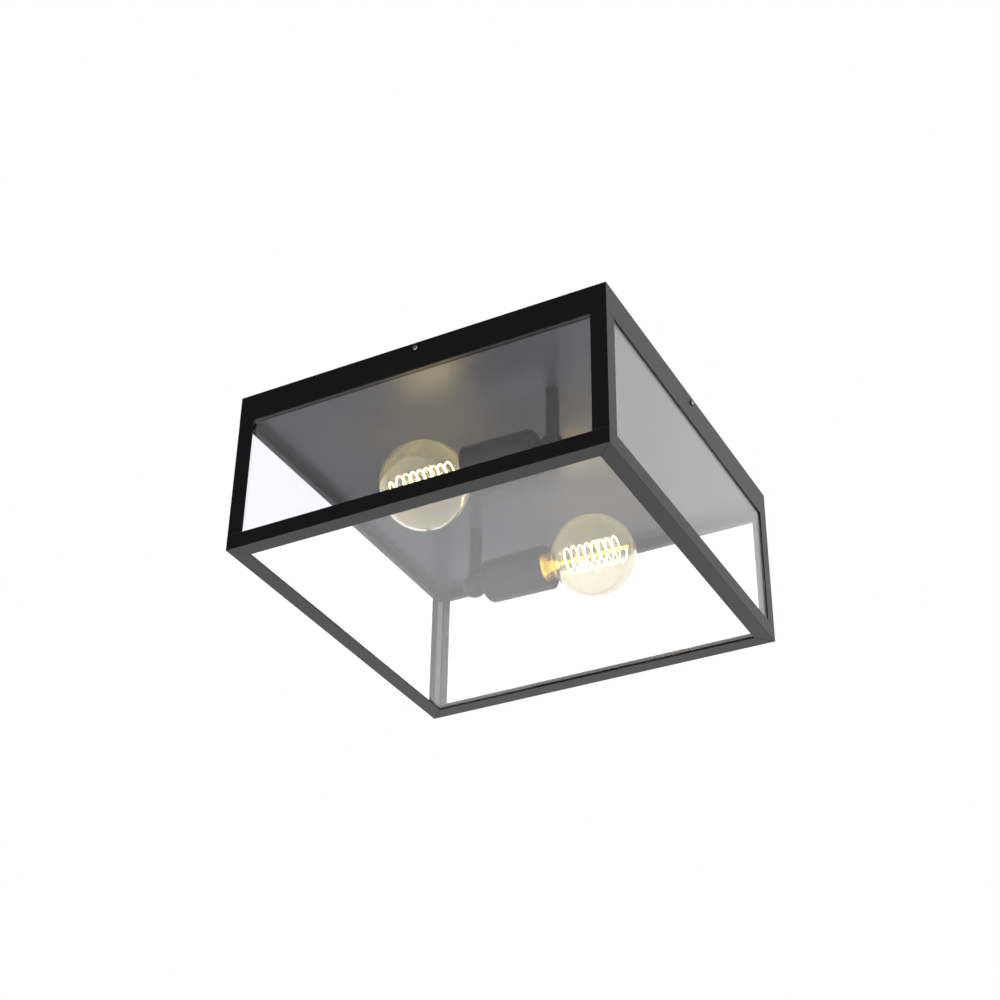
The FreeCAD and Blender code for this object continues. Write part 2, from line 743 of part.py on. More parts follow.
def lamp_filament(label):
    """The spiral filament: turns about the lamp's axis, both ends led in to the rod."""
    radius = sheet.get("coil_radius")
    pitch = sheet.get("coil_pitch")
    turns = sheet.get("coil_turns")
    wire = sheet.get("coil_wire")
    rod = sheet.get("rod_radius")
    middle = globe_ahead.value
    slope = pitch / (2 * math.pi * radius)
    level = 1 / math.sqrt(1 + slope * slope)

    def spot(angle, r=radius):
        x = middle + pitch * (angle / (2 * math.pi) - turns / 2)
        return Vector(x, r * math.cos(angle), r * math.sin(angle))

    def heading(angle):
        return Vector(slope, -math.sin(angle), math.cos(angle)) * level

    def outward(angle):
        return Vector(0, math.cos(angle), math.sin(angle))

    stops = [math.pi * i for i in range(int(round(turns * 2)) + 1)]
    lead = math.radians(50)
    first, last = stops[0], stops[-1]
    pairs = bend_pair(spot(first - lead, rod), outward(first - lead), spot(first), heading(first))
    for a, b in zip(stops, stops[1:]):
        pairs += bend_pair(spot(a), heading(a), spot(b), heading(b))
    pairs += bend_pair(spot(last), heading(last), spot(last + lead, rod), -outward(last + lead))
    path = Part.Wire([arc.toShape() for arc, bend in pairs])
    tightest = min(bend for arc, bend in pairs)
    start = spot(first - lead, rod)
    section = Part.Wire([Part.makeCircle(wire, start, outward(first - lead))])
    shell = Part.BRepOffsetAPI.MakePipeShell(path)
    shell.add(section)
    shell.build()
    shell.makeSolid()
    solid = shell.shape()
    if solid.Volume < 0:
        solid.reverse()

    # least gap between turns, measured on points at least a third of a turn apart
    count = int(turns * 36)
    points = [spot(2 * math.pi * turns * i / count) for i in range(count + 1)]
    gap = min((points[i] - points[j]).Length
              for i in range(len(points)) for j in range(i + 12, len(points))) - 2 * wire
    print("%s: length %.0f, tightest bend %.1f, least gap %.2f, volume %.2f of %.2f" % (
        label, path.Length, tightest, gap, solid.Volume, math.pi * wire * wire * path.Length))

    feature = doc.addObject("Part::Feature", label)
    feature.Label = label
    feature.Shape = solid
    return feature


for name, x, y, turn in SETS:
    rim = lamp_rim if turn == 0 else -lamp_rim
    for label, maker in (("globe", lamp_globe), ("cap", lamp_cap), ("insulator", lamp_insulator),
                         ("stem", lamp_stem), ("filament", lamp_filament)):
        keep(place(maker("lamp_%s_%s" % (label, name)), x + rim, y, ball_centre, turn))


# ----------------------------------------------- terminal block and earth

terminal_block = new_body("terminal_block")
outline = new_sketch(terminal_block, "XY")
long, deep = D.block_long / 2, D.block_deep / 2
draw_rectangle(outline, -long, -deep, long, deep)
for side in (-1, 1):
    draw_circle(outline, D.pole_pitch * (side / 2), 0, D.stud_radius + D.stud_play)
pad(terminal_block, outline, D.block_tall)
pole_height = D.block_tall / 2
outline = new_sketch(terminal_block, "XZ")
for side in (-1, 0, 1):
    draw_circle(outline, D.pole_pitch * side, pole_height, D.pole_radius + D.pole_play)
pocket(terminal_block, outline, D.block_deep + 2, both=True)
outline = new_sketch(terminal_block, "XY", D.block_tall)
for side in (-1, 0, 1):
    for end in (-1, 1):
        draw_circle(outline, D.pole_pitch * side, D.clamp_spread * end, D.clamp_radius + D.pole_play)
pocket(terminal_block, outline, D.block_tall - pole_height)
keep(place(terminal_block, z=pan_floor))


def pole(label, side):
    """A brass tube that takes a wire from each end, its screw holes on top."""
    body = new_body(label)
    outline = new_sketch(body, "XZ")
    draw_circle(outline, D.pole_pitch * side, pole_height, D.pole_radius)
    draw_circle(outline, D.pole_pitch * side, pole_height, D.pole_bore)
    pad(body, outline, D.block_deep - 2 * D.clamp_sink, both=True)
    holes = new_sketch(body, "XY", D.block_tall)
    for end in (-1, 1):
        draw_circle(holes, D.pole_pitch * side, D.clamp_spread * end, D.clamp_radius + D.pole_play)
    pocket(body, holes, D.block_tall - pole_height)
    return place(body, z=pan_floor)


def clamp_screw(label, side, end):
    body = new_body(label)
    outline = new_sketch(body, "XY", pole_height + D.pole_bore / 2)
    draw_circle(outline, D.pole_pitch * side, D.clamp_spread * end, D.clamp_radius)
    pad(body, outline, D.block_tall - D.clamp_sink - pole_height - D.pole_bore / 2)
    return place(body, z=pan_floor)


keep(gather("terminal_tubes", [pole("pole_%d" % (side + 2), side) for side in (-1, 0, 1)]))
keep(gather("terminal_screws", [clamp_screw("clamp_%d_%d" % (side + 2, end + 2), side, end)
                                for side in (-1, 0, 1) for end in (-1, 1)]))


def stud(label, radius, x, y, height):
    body = new_body(label)
    outline = new_sketch(body, "XY")
    draw_circle(outline, 0, 0, radius)
    pad(body, outline, height)
    return place(body, x, y, pan_floor)


fixing = []
for n, side in ((1, -1), (2, 1)):
    x = D.pole_pitch * (side / 2)
    fixing.append(stud("block_stud_%d" % n, D.stud_radius, x, 0,
                       D.block_tall + D.stud_nut_thick + D.nut_stand))
    fixing.append(place(hex_nut("block_nut_%d" % n, D.stud_nut_flats, D.stud_radius + D.thread_play,
                                D.stud_nut_thick), x, 0, pan_floor + D.block_tall))
keep(gather("block_fixing", fixing))

earth_nut_foot = pan_floor + D.washer_thick
keep(gather("earth_terminal", [
    stud("earth_stud", D.earth_stud_radius, 0, D.earth_y,
         D.washer_thick * 2 + D.thin_nut_thick + D.nut_stand * 4),
    place(ring("earth_washer_low", D.earth_washer_radius, D.earth_stud_radius + D.hole_play,
               D.washer_thick), 0, D.earth_y, pan_floor),
    place(hex_nut("earth_nut", D.earth_nut_flats, D.earth_stud_radius + D.thread_play,
                  D.thin_nut_thick), 0, D.earth_y, earth_nut_foot)]))


# ------------------------------------------------------------------- cage

def angle_rail(label, turn, foot, tall, ledge, screw=False):
    """A length of angle iron along a side, mitred at both ends: web outside,
    ledge inwards at its foot."""
    body = new_body(label)
    plan = new_sketch(body, "XY")
    inner = half_width - ledge
    draw_outline(plan, [(-half_width, -half_width), (half_width, -half_width),
                        (inner, -inner), (-inner, -inner)])
    pad(body, plan, tall)
    hollow = new_sketch(body, "YZ")
    draw_rectangle(hollow, -web_inside, D.cage_sheet, -inner + 1, tall + 1)
    pocket(body, hollow, D.lantern_width, both=True)
    if screw:
        hole = new_sketch(body, "XZ")
        draw_circle(hole, 0, tall - D.screw_drop, D.screw_radius + D.screw_play)
        pocket(body, hole, back=True)
    return place(body, 0, 0, foot, turn)


for side, turn in TURNS:
    keep(angle_rail("top_rail_" + side, turn, rail_foot, D.rail_height, D.rail_lip, screw=True))
for side, turn in TURNS:
    keep(angle_rail("base_rail_" + side, turn, ring_foot, D.angle_leg, D.angle_leg))

POSTS = (("front_left", 0), ("front_right", 90), ("back_right", 180), ("back_left", 270))

for corner, turn in POSTS:
    post = new_body("post_" + corner)
    outline = new_sketch(post, "XY")
    inner = half_width - D.angle_leg
    draw_outline(outline, [(-half_width, -half_width), (-inner, -half_width), (-inner, -web_inside),
                           (-web_inside, -web_inside), (-web_inside, -inner), (-half_width, -inner)])
    pad(post, outline, rail_foot - ring_head)
    keep(place(post, 0, 0, ring_head, turn))

for side, turn in TURNS:
    pane = new_body("glass_" + side)
    outline = new_sketch(pane, "XY")
    reach = pane_outside if turn in (0, 180) else pane_inside - D.pane_play
    draw_rectangle(outline, -reach, -pane_outside, reach, -pane_inside)
    pad(pane, outline, pane_head - base_head)
    keep(place(pane, 0, 0, base_head, turn))

glass_base = new_body("glass_base")
outline = new_sketch(glass_base, "XY")
reach = web_inside - D.base_play
draw_rectangle(outline, -reach, -reach, reach, reach)
pad(glass_base, outline, D.base_thick)
keep(place(glass_base, z=base_foot))


def bead_section(sketch, x, y):
    """A hollow-faced fillet with its square corner at x, y."""
    leg = D.bead_leg
    draw_outline(sketch, [(x, y), (x + leg, y, -leg), (x, y + leg)])


beads = []
for corner, turn in POSTS:
    bead = new_body("bead_" + corner)
    outline = new_sketch(bead, "XY")
    bead_section(outline, -pane_inside, -pane_inside)
    pad(bead, outline, pane_head - base_head)
    beads.append(place(bead, 0, 0, base_head, turn))
for side, turn in TURNS:
    bead = new_body("bead_" + side)
    outline = new_sketch(bead, "YZ")
    bead_section(outline, -pane_inside, size(0))
    pad(bead, outline, 2 * (pane_inside - D.bead_leg), both=True)
    beads.append(place(bead, 0, 0, base_head, turn))
keep(gather("silicone_beads", beads))


# ------------------------------------------------- side screws, weld nuts

nuts = []
for side, turn in (("right", 0), ("back", 90), ("left", 180), ("front", 270)):
    nut = new_body("weld_nut_" + side)
    outline = new_sketch(nut, "YZ", web_inside - D.weld_nut_thick)
    half = D.weld_nut_side / 2
    draw_rectangle(outline, -half, -half, half, half)
    draw_circle(outline, 0, 0, D.screw_radius + D.screw_play)
    pad(nut, outline, D.weld_nut_thick)
    nuts.append(place(nut, 0, 0, -D.screw_drop, turn))

    screw = new_body("side_screw_" + side)
    outline = new_sketch(screw, "XZ")
    head = half_width + D.screw_head_height
    flank = D.screw_head_radius - D.screw_crown
    crown = (flank * flank + D.screw_head_height * D.screw_head_height) / (2 * D.screw_head_height)
    draw_outline(outline, [
        (pan_half + D.screw_tip_play, 0), (head, 0), (head, D.screw_crown, -crown),
        (half_width, D.screw_head_radius), (half_width, D.screw_radius),
        (pan_half + D.screw_tip_play, D.screw_radius)])
    revolve(screw, outline)
    socket = new_sketch(screw, "YZ", head)
    draw_hexagon(socket, size(0), size(0), D.socket_flats)
    pocket(screw, socket, D.socket_depth)
    keep(place(screw, 0, 0, -D.screw_drop, turn))
keep(gather("screw_nuts", nuts))


# ----------------------------------------------------------- check, write

doc.recompute()
for thing in doc.Objects:
    if "Invalid" in thing.State or "Error" in thing.State:
        raise RuntimeError("%s failed: %s" % (thing.Label, thing.State))
    if thing.isDerivedFrom("Sketcher::SketchObject") and not thing.FullyConstrained:
        raise RuntimeError("a sketch of %s is loose" % thing.getParentGeoFeatureGroup().Label)
for thing in nodes:
    if thing.Shape.isNull() or not thing.Shape.isValid() or not thing.Shape.Solids:
        raise RuntimeError("%s has no valid shape" % thing.Label)

os.makedirs("parts", exist_ok=True)
for thing in nodes:
    thing.Shape.exportStep("parts/%s.step" % thing.Label)
print("%d pieces written" % len(nodes))
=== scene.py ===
import json
import math

import bmesh
import bpy
import numpy as np
from mathutils import Matrix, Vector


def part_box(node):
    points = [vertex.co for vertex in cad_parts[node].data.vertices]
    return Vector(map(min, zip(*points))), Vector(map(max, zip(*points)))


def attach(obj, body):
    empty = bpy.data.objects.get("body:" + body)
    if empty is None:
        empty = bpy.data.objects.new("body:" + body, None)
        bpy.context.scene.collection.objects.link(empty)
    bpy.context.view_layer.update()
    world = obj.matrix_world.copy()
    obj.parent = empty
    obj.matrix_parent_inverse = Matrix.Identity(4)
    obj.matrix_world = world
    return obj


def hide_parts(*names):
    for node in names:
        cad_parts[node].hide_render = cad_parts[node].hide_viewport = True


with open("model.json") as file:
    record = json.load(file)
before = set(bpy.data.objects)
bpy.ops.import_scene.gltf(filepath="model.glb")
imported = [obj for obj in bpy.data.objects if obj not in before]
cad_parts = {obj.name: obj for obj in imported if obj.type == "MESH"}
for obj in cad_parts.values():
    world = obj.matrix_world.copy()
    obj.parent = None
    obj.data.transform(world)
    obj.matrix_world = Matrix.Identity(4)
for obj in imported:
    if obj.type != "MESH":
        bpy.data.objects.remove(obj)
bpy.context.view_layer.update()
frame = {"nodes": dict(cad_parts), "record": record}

# Porch ceiling lantern, seen from below and in front. Metres, +Z up to the ceiling.

MM = 0.001
MERGE = 1e-6            # vertices nearer than this are one, in a copy of a CAD node
nodes = frame["nodes"]
body_of_node = {node: body for body, members in frame["record"]["behaviour"]["bodies"].items()
                for node in members}


# ---------------------------------------------------------------- camera

# Where the photograph was taken from, and the camera's right, down and forward.
CAMERA_AT = (0.65574163, -1.24200046, -0.96906881)
CAMERA_RIGHT = (0.88433476, 0.46669206, 0.01227016)
CAMERA_DOWN = (-0.2451238, 0.48653257, -0.83857044)
CAMERA_FORWARD = (-0.39732399, 0.73856928, 0.544655)
CAMERA_LENS = 65.8729   # mm on a 36 mm wide sensor


def make_camera():
    """The photograph's camera: its axes are the three directions above."""
    data = bpy.data.cameras.new("photo_camera")
    data.sensor_width = 36.0
    data.lens = CAMERA_LENS
    data.clip_start, data.clip_end = 0.05, 20.0
    camera = bpy.data.objects.new("photo_camera", data)
    bpy.context.scene.collection.objects.link(camera)
    axes = np.array([CAMERA_RIGHT, -np.array(CAMERA_DOWN), -np.array(CAMERA_FORWARD)]).T
    place = np.eye(4)
    place[:3, :3] = axes
    place[:3, 3] = CAMERA_AT
    camera.matrix_world = Matrix(place.tolist())
    bpy.context.scene.camera = camera


# -------------------------------------------------------------- materials

def linear(hex_code):
    """An sRGB hex colour as linear red, green, blue and an alpha of 1."""
    parts = np.array([int(hex_code[i:i + 2], 16) for i in (0, 2, 4)]) / 255.0
    parts = np.where(parts <= 0.04045, parts / 12.92, ((parts + 0.055) / 1.055) ** 2.4)
    return (*parts.tolist(), 1.0)


def add(tree, kind, settings=None, feeds=None):
    """Adds one node: settings are its properties or socket values, feeds its links."""
    node = tree.nodes.new(kind)
    for name, value in (settings or {}).items():
        if isinstance(name, int) or name in node.inputs:
            node.inputs[name].default_value = value
        else:
            setattr(node, name, value)
    for name, source in (feeds or {}).items():
        tree.links.new(source, node.inputs[name])
    return node


def new_finish(name, settings):
    """A material with one Principled shader; returns it, its tree and its shader."""
    material = bpy.data.materials.new(name)
    material.use_nodes = True
    tree = material.node_tree
    tree.nodes.clear()
    shader = add(tree, "ShaderNodeBsdfPrincipled", settings)
    add(tree, "ShaderNodeOutputMaterial", feeds={"Surface": shader.outputs["BSDF"]})
    return material, tree, shader


def grain(tree, shader, size_mm, height_mm, rough_low, rough_high, stretch=(1, 1, 1)):
    """Fine relief of one grain size, which also varies the roughness between two values."""
    place = add(tree, "ShaderNodeTexCoord")
    turned = add(tree, "ShaderNodeMapping", {"Scale": stretch}, {"Vector": place.outputs["Object"]})
    noise = add(tree, "ShaderNodeTexNoise", {"Scale": 1 / (size_mm * MM), "Detail": 3.0},
                {"Vector": turned.outputs["Vector"]})
    spread = add(tree, "ShaderNodeMapRange",
                 {"From Min": 0.3, "From Max": 0.7, "To Min": rough_low, "To Max": rough_high},
                 {"Value": noise.outputs["Fac"]})
    bump = add(tree, "ShaderNodeBump", {"Strength": 0.6, "Distance": height_mm * MM},
               {"Height": noise.outputs["Fac"]})
    tree.links.new(spread.outputs["Result"], shader.inputs["Roughness"])
    tree.links.new(bump.outputs["Normal"], shader.inputs["Normal"])


def see_through_for_light(material, tree, shader, tint):
    """Lets lamp light and bounced light through clear glass without bending it."""
    path = add(tree, "ShaderNodeLightPath")
    either = add(tree, "ShaderNodeMath", {"operation": "MAXIMUM"},
                 {0: path.outputs["Is Shadow Ray"], 1: path.outputs["Is Diffuse Ray"]})
    clear = add(tree, "ShaderNodeBsdfTransparent", {"Color": linear(tint)})
    mix = add(tree, "ShaderNodeMixShader", feeds={
        0: either.outputs[0], 1: shader.outputs["BSDF"], 2: clear.outputs["BSDF"]})
    output = next(n for n in tree.nodes if n.type == "OUTPUT_MATERIAL")
    tree.links.new(mix.outputs[0], output.inputs["Surface"])


# Powder coat, sprayed and baked on mild steel: near black, satin, with a fine
# orange peel. The real peel of about 0.5 mm is too fine to show, so it is 1.5 mm.
powder_coat, tree, shader = new_finish("powder_coat_baked_satin_black", {
    "Base Color": linear("171618"), "IOR": 1.5, "Specular IOR Level": 0.3})
grain(tree, shader, 1.5, 0.010, 0.34, 0.44)

# The same coat on the pan's flat sheet, its colour painted a little greyer as a painted sheen; it lies
# smoother there, so the lamps mirror in it as soft patches.
pan_coat, tree, shader = new_finish("powder_coat_on_flat_sheet_painted_sheen", {
    "Base Color": linear("3D3E42"), "IOR": 1.5, "Specular IOR Level": 0.33})
grain(tree, shader, 18.0, 0.0012, 0.29, 0.34)

# Stoved enamel on the arms, balls and lampholders: black turned to charcoal grey by
# its matting, finer than the powder coat.
enamel, tree, shader = new_finish("enamel_stoved_matt_charcoal", {
    "Base Color": linear("1E1D1F"), "IOR": 1.5, "Specular IOR Level": 0.14})
grain(tree, shader, 1.2, 0.003, 0.40, 0.50)

# Steel blackened thinly, with a painted highlight on the crown of the side screws' heads: more than
# 1.2 mm out from the cage's face it is painted pale grey for the light it catches, and in the recess
# it is black.
blackened_steel_painted_highlight, tree, shader = new_finish("steel_blackened_painted_highlight", {"Metallic": 1.0})
grain(tree, shader, 0.8, 0.004, 0.45, 0.6)
place = add(tree, "ShaderNodeTexCoord")
apart = add(tree, "ShaderNodeVectorMath", {"operation": "ABSOLUTE"}, {0: place.outputs["Object"]})
parts = add(tree, "ShaderNodeSeparateXYZ", feeds={0: apart.outputs[0]})
out = add(tree, "ShaderNodeMath", {"operation": "MAXIMUM"}, {0: parts.outputs[0], 1: parts.outputs[1]})
BLACK_TO, HIGHLIGHT_FROM = 180.6, 181.2      # mm out from the lantern's middle
# painted highlight: the head's crown, further out, is painted pale grey; the recess keeps the steel's
# own black
highlight_mask = add(tree, "ShaderNodeMapRange", {"From Min": BLACK_TO * MM, "From Max": HIGHLIGHT_FROM * MM},
           {"Value": out.outputs[0]})
colour = add(tree, "ShaderNodeMix", {"data_type": "RGBA"}, {"Factor": highlight_mask.outputs["Result"]})
colour.inputs[6].default_value = linear("1E1E20")
colour.inputs[7].default_value = linear("C4C4C6")
tree.links.new(colour.outputs[2], shader.inputs["Base Color"])

# Float glass, 3 mm, low in iron: clear, a shade cool, and mirror smooth.
float_glass, tree, shader = new_finish("float_glass_polished", {
    "Base Color": linear("FCFCFF"), "Transmission Weight": 1.0, "IOR": 1.52, "Roughness": 0.0})
see_through_for_light(float_glass, tree, shader, "FCFCFF")

# The same glass where its edge is cut and ground, under sealant: dull and dark.
glass_edge, tree, shader = new_finish("float_glass_edge_ground", {
    "Base Color": linear("2B2E2D"), "IOR": 1.52})
grain(tree, shader, 1.0, 0.01, 0.5, 0.65)

# Acetoxy silicone, tooled into the corners: milky and a little soft.
silicone, tree, shader = new_finish("silicone_sealant_tooled", {
    "Base Color": linear("B9BAB8"), "IOR": 1.41, "Transmission Weight": 0.35})
grain(tree, shader, 4.0, 0.05, 0.35, 0.5)

# Mild steel, zinc plated and clear passivated: pale, a little patchy.
zinc_plate, tree, shader = new_finish("steel_zinc_plated", {
    "Base Color": linear("B4B6B8"), "Metallic": 1.0})
grain(tree, shader, 2.0, 0.01, 0.28, 0.42)

# Phenolic moulding: black, glossy where the mould was polished.
phenolic, tree, shader = new_finish("phenolic_moulded_black", {
    "Base Color": linear("141414"), "IOR": 1.6})
grain(tree, shader, 1.0, 0.01, 0.25, 0.35)

# Polyamide moulding of the terminal block: off-white and matt.
polyamide, tree, shader = new_finish("polyamide_moulded_white", {
    "Base Color": linear("E4E2DA"), "IOR": 1.53})
grain(tree, shader, 1.2, 0.01, 0.45, 0.6)

# Brass sheet, drawn and rolled: warm yellow, bright, with fine drawing marks.
brass, tree, shader = new_finish("brass_drawn", {
    "Base Color": linear("E2BE6A"), "Metallic": 1.0})
grain(tree, shader, 0.8, 0.006, 0.16, 0.3, (0.2, 1, 1))

# Soda-lime glass, blown, with a thin gold bloom inside that glows a little when lit.
lamp_glass, tree, shader = new_finish("soda_glass_blown_gold_bloom", {
    "Base Color": linear("F1F0E1"), "Transmission Weight": 0.94, "IOR": 1.45, "Roughness": 0.0})
see_through_for_light(lamp_glass, tree, shader, "F8F4E0")

# Lead glass of the stem, pressed: painted amber where the flare closes the neck, as a painted
# reflection of the brass cap, with a painted glow for the filament's light carried down it.
stem_glass, tree, shader = new_finish("lead_glass_pressed_painted_gold_and_glow", {
    "Base Color": linear("F0DC50"), "Transmission Weight": 0.15, "IOR": 1.55,
    "Emission Color": linear("E4CC20"), "Emission Strength": 0.35})
grain(tree, shader, 3.0, 0.02, 0.1, 0.2)

# Vitrite, the black glass behind a cap.
vitrite, tree, shader = new_finish("vitrite_pressed_black", {
    "Base Color": linear("101012"), "IOR": 1.55})
grain(tree, shader, 2.0, 0.01, 0.1, 0.2)

# Carbonised thread of the filament, alight: creamy white to the eye. What mirrors it
# gets its full brightness, which the eye's own view leaves out.
glow, tree, shader = new_finish("filament_carbonised_alight", {
    "Base Color": linear("FFE9B0"), "Roughness": 0.6,
    "Emission Color": linear("FFEFC4"), "Emission Strength": 4.5})
path = add(tree, "ShaderNodeLightPath")
bounced = add(tree, "ShaderNodeMath", {"operation": "ADD"},
              {0: path.outputs["Glossy Depth"], 1: path.outputs["Diffuse Depth"]})
once = add(tree, "ShaderNodeMath", {"operation": "MINIMUM", 1: 1.0}, {0: bounced.outputs[0]})
full = add(tree, "ShaderNodeEmission", {"Color": linear("FFE6B0"), "Strength": 50.0})
mix = add(tree, "ShaderNodeMixShader", feeds={
    0: once.outputs[0], 1: shader.outputs["BSDF"], 2: full.outputs[0]})
output = next(n for n in tree.nodes if n.type == "OUTPUT_MATERIAL")
tree.links.new(mix.outputs[0], output.inputs["Surface"])


# ------------------------------------------------------- putting pieces in

def paint(names, material):
    """Gives carried-over CAD nodes their finish."""
    for name in names:
        slots = nodes[name].data.materials
        slots.clear()
        slots.append(material)


def soften(mesh, angle_deg=30.0):
    """Smooth faces, with edges kept sharp where they turn by more than the angle."""
    edges = bmesh.new()
    edges.from_mesh(mesh)
    for face in edges.faces:
        face.smooth = True
    for edge in edges.edges:
        edge.smooth = len(edge.link_faces) == 2 and edge.calc_face_angle(0) < math.radians(angle_deg)
    edges.to_mesh(mesh)
    edges.free()


def stand_in(name, mesh, material, node):
    """Puts a new piece in for a CAD node, on the node's own body."""
    mesh.materials.clear()
    mesh.materials.append(material)
    piece = bpy.data.objects.new(name, mesh)
    bpy.context.scene.collection.objects.link(piece)
    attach(piece, body_of_node[node])
    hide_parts(node)
    return piece


def merged_copy(name, node):
    """A copy of the CAD node's mesh, and its shape with the loose triangles joined."""
    mesh = nodes[node].data.copy()
    mesh.name = name
    shape = bmesh.new()
    shape.from_mesh(mesh)
    bmesh.ops.remove_doubles(shape, verts=shape.verts, dist=MERGE)
    return mesh, shape


def eased(name, node, material, radius_mm):
    """The CAD node's own form with its edges rounded off."""
    mesh, shape = merged_copy(name, node)
    flat = [e for e in shape.edges if len(e.link_faces) == 2 and e.calc_face_angle(0) < 0.003]
    bmesh.ops.dissolve_edges(shape, edges=flat, use_verts=False)
    shape.to_mesh(mesh)
    shape.free()
    soften(mesh)
    piece = stand_in(name, mesh, material, node)
    bevel = piece.modifiers.new("eased_edges", "BEVEL")
    bevel.width = radius_mm * MM
    bevel.segments = 2
    bevel.limit_method = "ANGLE"
    bevel.angle_limit = math.radians(40)
    bevel.harden_normals = True


def smoothed(name, node, material):
    """The CAD node's own form, its folds smooth and its flat faces flat."""
    mesh, shape = merged_copy(name, node)
    shape.to_mesh(mesh)
    shape.free()
    soften(mesh, 40.0)
    piece = stand_in(name, mesh, material, node)
    normals = piece.modifiers.new("flat_faces", "WEIGHTED_NORMAL")
    normals.mode = "FACE_AREA"
    normals.keep_sharp = True


def surface(name, points, wrap_rows=False, wrap_columns=True):
    """A mesh from a grid of points [row, column, xyz], closed round where wrapped."""
    rows, columns = points.shape[:2]
    index = np.arange(rows * columns).reshape(rows, columns)
    if wrap_rows:
        index = np.vstack([index, index[:1]])
    if wrap_columns:
        index = np.hstack([index, index[:, :1]])
    quads = np.stack([index[:-1, :-1], index[:-1, 1:], index[1:, 1:], index[1:, :-1]], axis=-1)
    quads = quads.reshape(-1, 4)
    mesh = bpy.data.meshes.new(name)
    mesh.vertices.add(rows * columns)
    mesh.vertices.foreach_set("co", points.reshape(-1, 3).astype(np.float32).ravel())
    mesh.loops.add(quads.size)
    mesh.loops.foreach_set("vertex_index", quads.astype(np.int32).ravel())
    mesh.polygons.add(len(quads))
    mesh.polygons.foreach_set("loop_start", np.arange(0, quads.size, 4, dtype=np.int32))
    mesh.update(calc_edges=True)
    joined = bmesh.new()
    joined.from_mesh(mesh)
    bmesh.ops.remove_doubles(joined, verts=joined.verts, dist=1e-7)
    bmesh.ops.delete(joined, geom=[e for e in joined.edges if not e.link_faces], context="EDGES")
    bmesh.ops.recalc_face_normals(joined, faces=joined.faces)
    joined.to_mesh(mesh)
    joined.free()
    return mesh


def turned(name, along, radius, centre, facing, columns=96):
    """A closed profile turned about a level axis: point (a, r) at angle t lies at
    centre + a * facing along x, r * cos t across and r * sin t up. radius may be
    a function of the angle too, as a row of values for each point of the profile."""
    angle = np.linspace(0, 2 * np.pi, columns, endpoint=False)
    along = np.asarray(along, float)[:, None] + 0 * angle
    radius = np.asarray(radius, float)
    radius = radius[:, None] + 0 * angle if radius.ndim == 1 else radius
    points = np.stack([centre[0] + facing * along,
                       centre[1] + radius * np.cos(angle),
                       centre[2] + radius * np.sin(angle)], axis=-1)
    mesh = surface(name, points, wrap_rows=True)
    soften(mesh)
    return mesh


def arc(centre, radius, start, stop, count):
    """Points on a circle from one angle to another, in degrees, as two arrays."""
    angle = np.radians(np.linspace(start, stop, count))
    return centre[0] + radius * np.cos(angle), centre[1] + radius * np.sin(angle)


def profile(*runs):
    """Joins runs of points into one profile."""
    return (np.concatenate([np.atleast_1d(r[0]) for r in runs]).astype(float),
            np.concatenate([np.atleast_1d(r[1]) for r in runs]).astype(float))


# ------------------------------------------------------------------ frame

SIDES = ("front", "right", "back", "left")
CORNERS = ("front_left", "front_right", "back_right", "back_left")
EASE = 0.35             # mm, how far the coat rounds an edge

for side in SIDES:
    eased("ceiling_angle_" + side, "top_rail_" + side, powder_coat, EASE)
    eased("floor_angle_" + side, "base_rail_" + side, powder_coat, EASE)
for corner in CORNERS:
    eased("upright_" + corner, "post_" + corner, powder_coat, EASE)


smoothed("folded_pan", "ceiling_pan", pan_coat)


def pane(name, node, across):
    """The CAD pane's own form; faces that don't look across it are its ground edges."""
    mesh, shape = merged_copy(name, node)
    for face in shape.faces:
        face.smooth = False
    ground = [0 if abs(face.normal[across]) > 0.5 else 1 for face in shape.faces]
    shape.to_mesh(mesh)
    shape.free()
    stand_in(name, mesh, float_glass, node)
    mesh.materials.append(glass_edge)
    mesh.polygons.foreach_set("material_index", ground)


for side, across in zip(SIDES, (1, 0, 1, 0)):
    pane("pane_" + side, "glass_" + side, across)
pane("pane_base", "glass_base", 2)


# ----------------------------------------------------------- lampholders

SLEEVE_WALL, SHOULDER, NIPPLE_HOLE, BACK_R = 1.0, 5.0, 5.1, 20.5


def sleeve_profile(length, mouth_r):
    """Spun sleeve from its back: a flat with a hole, a quarter-round shoulder, a
    straight flare to the mouth, the rim rolled to a half circle, and back inside."""
    roll = SLEEVE_WALL / 2
    inner = SHOULDER - SLEEVE_WALL
    return profile(
        (SLEEVE_WALL, NIPPLE_HOLE), (0, NIPPLE_HOLE),
        arc((SHOULDER, BACK_R - SHOULDER), SHOULDER, 180, 90, 12),
        arc((length - roll, mouth_r - roll), roll, 90, -90, 9),
        arc((SHOULDER, BACK_R - SHOULDER), inner, 90, 180, 12))


for name, facing in (("1", -1), ("2", 1)):
    low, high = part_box("lampholder_sleeve_" + name)
    back = high.x if facing < 0 else low.x
    centre = np.array((back, (low.y + high.y) / 2, (low.z + high.z) / 2))
    a, r = sleeve_profile((high.x - low.x) / MM, (high.z - low.z) / 2 / MM)
    mesh = turned("spun_sleeve_" + name, a * MM, r * MM, centre, facing, 128)
    stand_in("spun_sleeve_" + name, mesh, enamel, "lampholder_sleeve_" + name)


# ------------------------------------------------------------------ lamps

# Sizes in mm, from the rim of the cap, towards the globe.
GLOBE_CENTRE, GLOBE_R, GLASS = 50.0, 40.0, 1.0
NECK_R, NECK_IN, HOLLOW = 12.6, 8.0, 14.0
PITCH, THREAD_DEPTH = 3.62, 0.85


